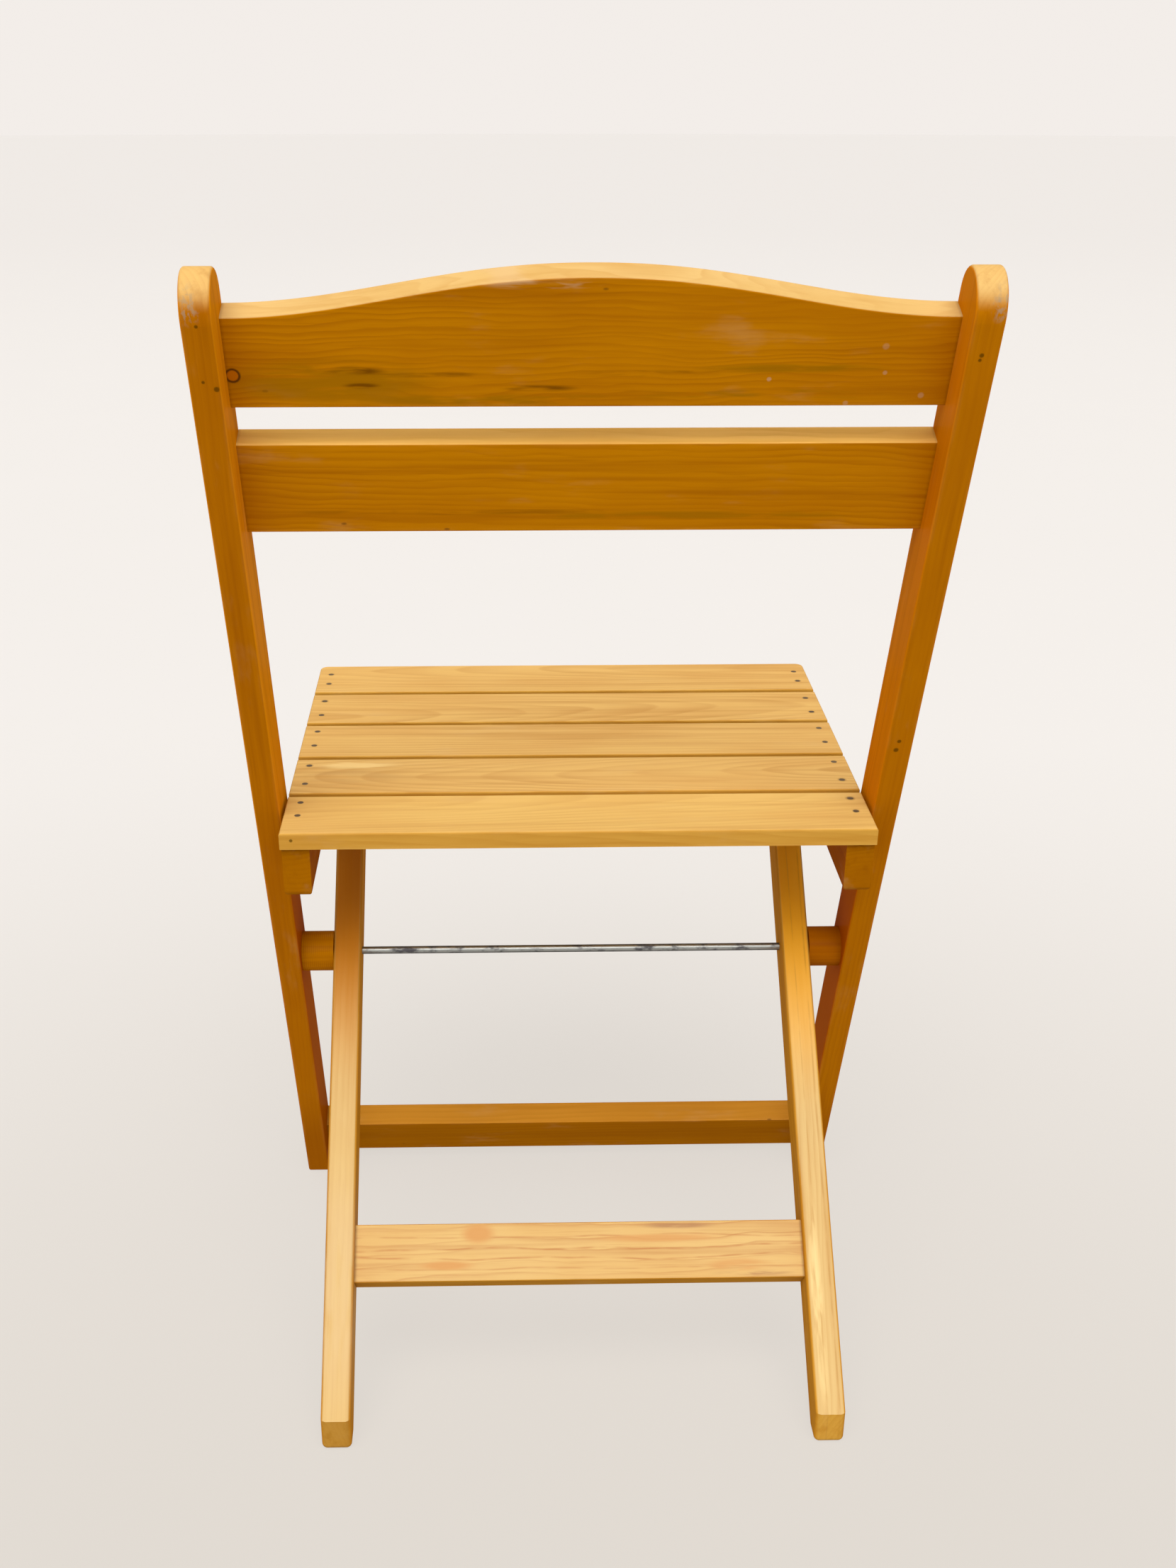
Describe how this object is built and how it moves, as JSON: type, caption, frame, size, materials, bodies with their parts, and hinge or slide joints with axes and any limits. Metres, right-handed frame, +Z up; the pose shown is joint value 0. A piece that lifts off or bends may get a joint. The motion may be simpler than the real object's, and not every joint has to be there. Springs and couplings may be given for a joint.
{
  "type": "folding chair",
  "caption": "Folding slatted pine chair with a curved crest rail, crossing legs on a steel rod and a seat that folds up.",
  "frame": {"origin": "on the floor under the middle of the open chair's outer box", "axes": "+Z up; -Y the way a sitter faces; +X to the sitter's left; the X=0 plane is the plane of symmetry"},
  "size_m": [0.469, 0.5308, 0.7973],
  "materials": {
    "amber_pine": "satin lacquer",
    "seat_pine": "satin lacquer",
    "pale_pine": "satin lacquer",
    "beech_dowel": "bare",
    "zinc_steel": "dull zinc plate",
    "nail_steel": "darkened",
    "nylon": "matt"
  },
  "bodies": {
    "back_frame": {"crest_rail": "amber_pine", "crest_rail_dowels": "beech_dowel", "front_stretcher": "amber_pine", "front_stretcher_dowels": "beech_dowel", "left_rod_nut": "zinc_steel", "left_rod_washer": "zinc_steel", "left_spacer": "amber_pine", "left_upright": "amber_pine", "lower_back_rail": "amber_pine", "lower_rail_dowels": "beech_dowel", "pivot_rod": "zinc_steel", "right_rod_nut": "zinc_steel", "right_rod_washer": "zinc_steel", "right_spacer": "amber_pine", "right_upright": "amber_pine"},
    "leg_frame": {"left_leg": "pale_pine", "right_leg": "pale_pine", "rear_stretcher": "pale_pine", "rear_stretcher_dowels": "beech_dowel", "slide_rod": "zinc_steel", "slide_rod_clips": "zinc_steel"},
    "seat": {"left_seat_bush": "nylon", "left_seat_rail": "amber_pine", "left_seat_screw": "zinc_steel", "right_seat_bush": "nylon", "right_seat_rail": "amber_pine", "right_seat_screw": "zinc_steel", "seat_slat_1": "seat_pine", "seat_slat_2": "seat_pine", "seat_slat_3": "seat_pine", "seat_slat_4": "seat_pine", "seat_slat_5": "seat_pine", "slat_nails": "nail_steel"}
  },
  "joints": [
    {"name": "leg_fold", "type": "hinge", "parent": "back_frame", "child": "leg_frame", "pos_m": [0, -0.02214, 0.264], "axis": [-1, 0, 0], "range_deg": [0, 65.2]},
    {"name": "seat_fold", "type": "hinge", "parent": "back_frame", "child": "seat", "pos_m": [0, 0.02673, 0.38496], "axis": [-1, 0, 0], "range_deg": [0, 95]}
  ],
  "couplings": [
    {"joint": "seat_fold", "follows": "leg_fold", "ratio": 1.4566}
  ]
}
